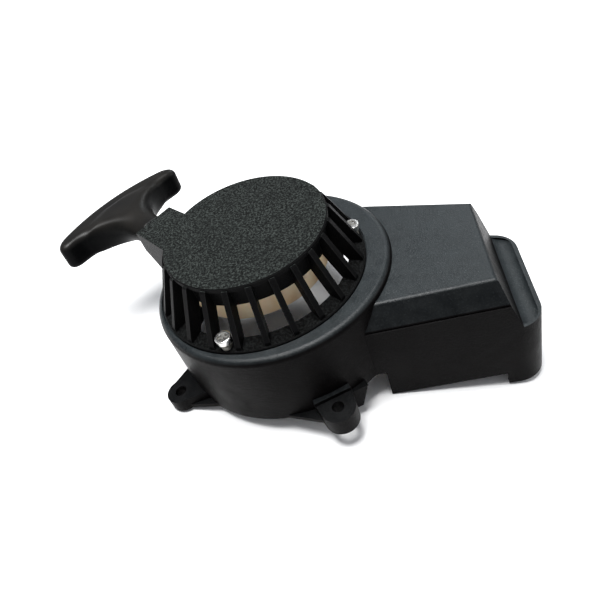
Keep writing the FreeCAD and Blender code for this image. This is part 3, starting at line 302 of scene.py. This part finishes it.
def rope_nylon():
    """Braided nylon: two families of strands crossing round the rope."""
    s = Shader("rope_nylon")

    def strands(stretch, distort):
        bands = s.new("ShaderNodeTexWave", wave_type="BANDS", bands_direction="DIAGONAL")
        bands.inputs["Scale"].default_value = STRAND_SCALE
        bands.inputs["Distortion"].default_value = distort
        s.link(s.stretched(stretch), bands.inputs["Vector"])
        return bands.outputs["Fac"]

    height = s.math("MAXIMUM", strands(None, 1.2), strands((-1.0, 1.0, 1.0), 0.0))
    fibres = s.noise(0.0004, 3.0, 0.7)
    fleck = s.ramp(s.noise(0.004, 2.0, 0.5), 0.0, 1.0, 0.56, 0.6)
    # the low parts between the strands are painted darker: painted shade in the grooves
    colour = s.mix(height, (0.20, 0.19, 0.17), (0.55, 0.53, 0.48))
    colour = s.mix(fleck, colour, (0.05, 0.05, 0.055))
    normal = s.bump(height, 0.0003)
    normal = s.bump(fibres, 0.00006, normal)
    s.put(0.3, s.bsdf.inputs["Sheen Weight"])
    return s.finish(colour, 0.75, specular=0.25, normal=normal)


METALS = (
    # slot, colour where clean and where dull, roughness, and whether turned on a lathe
    ("screw_steel", (0.80, 0.80, 0.78), (0.62, 0.61, 0.58), 0.24, False),
    ("sleeve_steel", (0.80, 0.78, 0.70), (0.60, 0.57, 0.50), 0.42, True),
    ("insert_brass", (0.72, 0.52, 0.22), (0.50, 0.34, 0.13), 0.30, True),
    ("bush_bronze", (0.52, 0.33, 0.16), (0.34, 0.21, 0.10), 0.40, True),
    ("plate_steel", (0.50, 0.50, 0.49), (0.34, 0.34, 0.33), 0.38, False),
    ("pawl_steel", (0.36, 0.36, 0.36), (0.22, 0.22, 0.22), 0.46, False),
    ("spring_steel", (0.26, 0.28, 0.32), (0.14, 0.15, 0.18), 0.30, False),
)
MATERIALS = {
    "shroud_plastic": shroud_plastic(),
    "cage_plastic": cage_plastic(),
    "handle_plastic": handle_plastic(),
    "guide_plastic": guide_plastic(),
    "pulley_nylon": pulley_nylon(),
    "rope": rope_nylon(),
}
MATERIALS.update((row[0], metal(*row)) for row in METALS)


def add_object(name, data):
    piece = bpy.data.objects.new(name, data)
    bpy.context.scene.collection.objects.link(piece)
    return piece


def shade_smooth(mesh):
    for polygon in mesh.polygons:
        polygon.use_smooth = True


def paint(piece, slot):
    piece.data.materials.clear()
    piece.data.materials.append(MATERIALS[slot])


def paint_nodes():
    slots = {part["node"]: part["material_slot"] for part in record["subparts"]}
    for name, piece in frame["nodes"].items():
        paint(piece, slots[name])


# ---------------------------------------------------------------- pull handle

ROPE_ALONG = Vector(JOINTS["handle_pull"]["axis"]).normalized()
HANDLE_ROLL = math.radians(2.0)  # about the rope
STEM_OVAL = 1.9 * MM             # how much wider than tall the handle's stem is, each side
ROPE_R = 1.75 * MM
ROPE_START = (-40.6 * MM, 1.3 * MM, 70.0 * MM)   # where the rope is clear of the coil
ROPE_BEND = 50.0 * MM            # how far along its line it bends, behind the guide


def rope_centre():
    """Where the rope's line passes nearest to the crank axis, at the rope's height."""
    grip = Vector(MOUNTS["pull_grip"]["pos_m"])
    return grip - ROPE_ALONG * grip.dot(ROPE_ALONG)


def rope_reach(node_name):
    """How far along the rope a node starts and ends."""
    data = frame["nodes"][node_name].data
    reach = [v.co.dot(ROPE_ALONG) for v in data.vertices]
    return min(reach), max(reach)


def smooth_union(a, b, k):
    """The nearer of two distances, blended over a width of k."""
    part = np.clip(0.5 + 0.5 * (b - a) / k, 0.0, 1.0)
    return b * (1.0 - part) + a * part - k * part * (1.0 - part)


def surface(name, distance, low, high, step):
    """A mesh of the surface where distance(x, y, z) is 0, on a grid of step."""
    counts = [int(math.ceil((high[i] - low[i]) / step)) + 1 for i in range(3)]
    axes = [low[i] + step * np.arange(counts[i]) for i in range(3)]
    x, y, z = np.meshgrid(*axes, indexing="ij")
    grid = openvdb.FloatGrid()
    grid.copyFromArray((distance(x, y, z) / step).astype(np.float32))
    points, triangles, quads = grid.convertToPolygons(0.0, 0.0)
    mesh = bpy.data.meshes.new(name)
    points = points * step + np.array(low)
    faces = [tuple(int(i) for i in reversed(f)) for f in quads]
    faces += [tuple(int(i) for i in reversed(f)) for f in triangles]
    mesh.from_pydata([tuple(p) for p in points], [], faces)
    mesh.validate()
    shade_smooth(mesh)
    return add_object(name, mesh)


def make_handle():
    """The T handle: a bowed bar with finger hollows, flared into its stem."""
    stem_end, outer = rope_reach("pull_handle")
    half, tall, edge = 44.4 * MM, 9.2 * MM, 4.4 * MM     # the bar, and its edges' radius
    bow, front = 9.0 * MM, outer - 18.0 * MM
    hollow, hollow_from = 0.9 * MM, 10.0 * MM            # for the fingers, each side
    flare, flare_end, flare_run = 24.0 * MM, 7.0 * MM, 11.0 * MM
    least_flare = 0.8 * MM
    stem_r, stem_root_r = 7.2 * MM, 8.4 * MM
    mid = outer - 12.4 * MM                              # where the stem ends, in the bar
    bore_r, knot_r, knot_floor = 2.0 * MM, 4.35 * MM, mid - 3.0 * MM

    def distance(x, y, z):
        across = np.clip(np.abs(y) / half, 0.0, 1.2)
        back_slope = 2.0 * bow * across / half
        back = (x - outer + bow * across ** 2) / np.sqrt(1.0 + back_slope ** 2)
        reach = np.clip((np.abs(y) - hollow_from) / (half - hollow_from), 0.0, 1.0)
        dip = hollow * np.sin(np.pi * reach)
        plan = -smooth_union(-back, -(front + dip - x), 3.0 * MM)
        plan = -smooth_union(-plan, -(np.abs(y) - half), 6.5 * MM)
        level = np.abs(z) - tall * (1.0 - 0.03 * across ** 2)
        out_plan, out_level = plan + edge, level + edge
        bar = np.minimum(np.maximum(out_plan, out_level), 0.0) - edge
        bar += np.sqrt(np.maximum(out_plan, 0.0) ** 2 + np.maximum(out_level, 0.0) ** 2)
        run = np.clip((x - stem_end) / (mid - stem_end), 0.0, 1.0)
        radius = stem_r + (stem_root_r - stem_r) * run
        oval = np.sqrt((y * radius / (radius + STEM_OVAL)) ** 2 + z ** 2)
        stem = np.maximum(oval - radius, x - mid)
        # the flare is on the stem's side only, so the back keeps its bow
        stem_side = np.clip((outer - flare_end - x) / flare_run, 0.0, 1.0)
        blend = np.maximum(flare * stem_side, least_flare)
        body = smooth_union(bar, stem, blend)
        body = -smooth_union(-body, -(np.abs(z) - tall - 0.3 * MM), 2.0 * MM)
        body = -smooth_union(-body, -(stem_end - x), 1.2 * MM)
        # the rope's bore, and the pocket for its knot
        from_rope = np.sqrt(y ** 2 + z ** 2)
        body = np.maximum(body, -(from_rope - bore_r))
        return np.maximum(body, -np.maximum(from_rope - knot_r, knot_floor - x))

    low = (stem_end - 2 * MM, -half - 2 * MM, -tall - 3 * MM)
    high = (outer + 2 * MM, half + 2 * MM, tall + 3 * MM)
    step = 0.6 * MM
    handle = surface("t_handle", distance, low, high, step)
    handle.data.transform(rope_frame())
    paint(handle, "handle_plastic")
    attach(handle, "handle")
    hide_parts("pull_handle")


def rope_frame():
    """From the handle's own frame, X along the rope, to the part's."""
    roll = Matrix.Rotation(HANDLE_ROLL, 4, "X")
    turn = Matrix.Rotation(math.atan2(ROPE_ALONG.y, ROPE_ALONG.x), 4, "Z")
    return Matrix.Translation(rope_centre()) @ turn @ roll


# ---------------------------------------------------------------- pull rope

def make_pull_rope():
    """The rope from the pulley to the handle's knot."""
    centre = rope_centre()
    mouth = rope_reach("rope_guide")[1]
    stem_end = rope_reach("pull_handle")[0]
    tail_end = rope_reach("rope_tail")[1]
    stops = [ROPE_BEND, mouth - 0.1 * MM, stem_end + 0.3 * MM, tail_end]
    route = [Vector(ROPE_START)] + [centre + ROPE_ALONG * stop for stop in stops]

    curve = bpy.data.curves.new("rope_route", "CURVE")
    curve.dimensions = "3D"
    curve.resolution_u = 12
    spline = curve.splines.new("NURBS")
    spline.points.add(len(route) - 1)
    for point, place in zip(spline.points, route):
        point.co = (*place, 1.0)
    spline.order_u = 3
    spline.use_endpoint_u = True
    curve.bevel_depth = ROPE_R
    curve.bevel_resolution = 8
    curve.use_fill_caps = True
    holder = bpy.data.objects.new("rope_route", curve)
    mesh = bpy.data.meshes.new_from_object(holder)
    bpy.data.objects.remove(holder)
    shade_smooth(mesh)
    rope = add_object("pull_rope", mesh)
    paint(rope, "rope")
    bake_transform(rope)
    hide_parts("rope_lead", "rope_tail")


# ---------------------------------------------------------------- floor, light, camera

SKIRT_CORNER = (55.9 * MM, -19.4 * MM)   # X and Z of the skirt's inner lower corner
EAR_R = 8.2 * MM                 # of a side ear's end
FLOOR_GAP = 0.6 * MM             # keeps the part's lowest edges out of the table
TABLE_HALF = 6.0                 # metres

LIGHTS = (
    # name, place, aimed at, width and depth, watts, colour
    ("overhead", (0.0, -0.02, 1.2), (0.03, 0.0, 0.0), (0.55, 0.55), 26.0, (1.0, 1.0, 1.0)),
    ("right", (1.5, 0.1, 0.45), (0.10, 0.0, 0.01), (0.6, 0.6), 5.0, (1.0, 1.0, 1.0)),
    ("back_right", (0.45, 1.0, 0.75), (0.03, 0.0, 0.03), (0.6, 0.4), 3.2, (0.92, 0.97, 1.0)),
)
SKY_COLOUR = (0.93, 0.95, 1.0, 1.0)
SKY_STRENGTH = 0.40

CAMERA_PLACE = (71.8 * MM, -254.3 * MM, 260.0 * MM)
CAMERA_TURN = (12.82, 42.71, -21.81)     # azimuth, elevation and tilt, degrees
SENSOR_MM, LENS_MM = 36.0, 36.53


def make_floor():
    """The table: the part lies on the skirt's inner corner and on its two side ears."""
    ear = Vector(MOUNTS["ear_hole_near_side"]["pos_m"])
    corner_x, corner_z = SKIRT_CORNER
    size = TABLE_HALF
    corners = [(-size, -size, 0), (size, -size, 0), (size, size, 0), (-size, size, 0)]
    mesh = bpy.data.meshes.new("table_top")
    mesh.from_pydata(corners, [], [(0, 1, 2, 3)])
    floor = add_object("table_top", mesh)
    floor.rotation_euler = (0, math.atan2(-corner_z, corner_x - (ear.x - EAR_R)), 0)
    floor.location = (corner_x, 0, corner_z - FLOOR_GAP)
    s = Shader("pale_paper")
    cloud = s.noise(0.3, 2.0, 0.5)
    s.finish(s.mix(cloud, (0.90, 0.90, 0.90), (0.92, 0.92, 0.92)), 0.9, specular=0.1)
    mesh.materials.append(s.material)


def soft_light(name, place, target, size, power, colour):
    data = bpy.data.lights.new(name, "AREA")
    data.shape = "RECTANGLE"
    data.size, data.size_y = size
    data.energy = power
    data.color = colour
    light = add_object(name, data)
    light.location = place
    back = (Vector(place) - Vector(target)).normalized()
    light.rotation_euler = back.to_track_quat("Z", "Y").to_euler()


def make_light():
    world = bpy.data.worlds.new("studio")
    world.use_nodes = True
    background = world.node_tree.nodes["Background"]
    background.inputs["Color"].default_value = SKY_COLOUR
    background.inputs["Strength"].default_value = SKY_STRENGTH
    bpy.context.scene.world = world
    for row in LIGHTS:
        soft_light(*row)


def make_camera():
    data = bpy.data.cameras.new("camera")
    data.sensor_width = SENSOR_MM
    data.lens = LENS_MM
    data.clip_start, data.clip_end = 0.01, 20.0
    camera = add_object("camera", data)
    camera.location = CAMERA_PLACE
    azimuth, elevation, tilt = (math.radians(a) for a in CAMERA_TURN)
    back = Vector((math.sin(azimuth) * math.cos(elevation),
                   -math.cos(azimuth) * math.cos(elevation), math.sin(elevation)))
    level = Vector((math.cos(azimuth), math.sin(azimuth), 0.0))
    up = back.cross(level)
    right = level * math.cos(tilt) + up * math.sin(tilt)
    axes = Matrix((right, back.cross(right), back)).transposed()
    camera.rotation_euler = axes.to_euler()
    bpy.context.scene.camera = camera
    bpy.context.scene.view_settings.view_transform = "Standard"


make_camera()
make_floor()
make_light()
paint_nodes()
make_handle()
make_pull_rope()
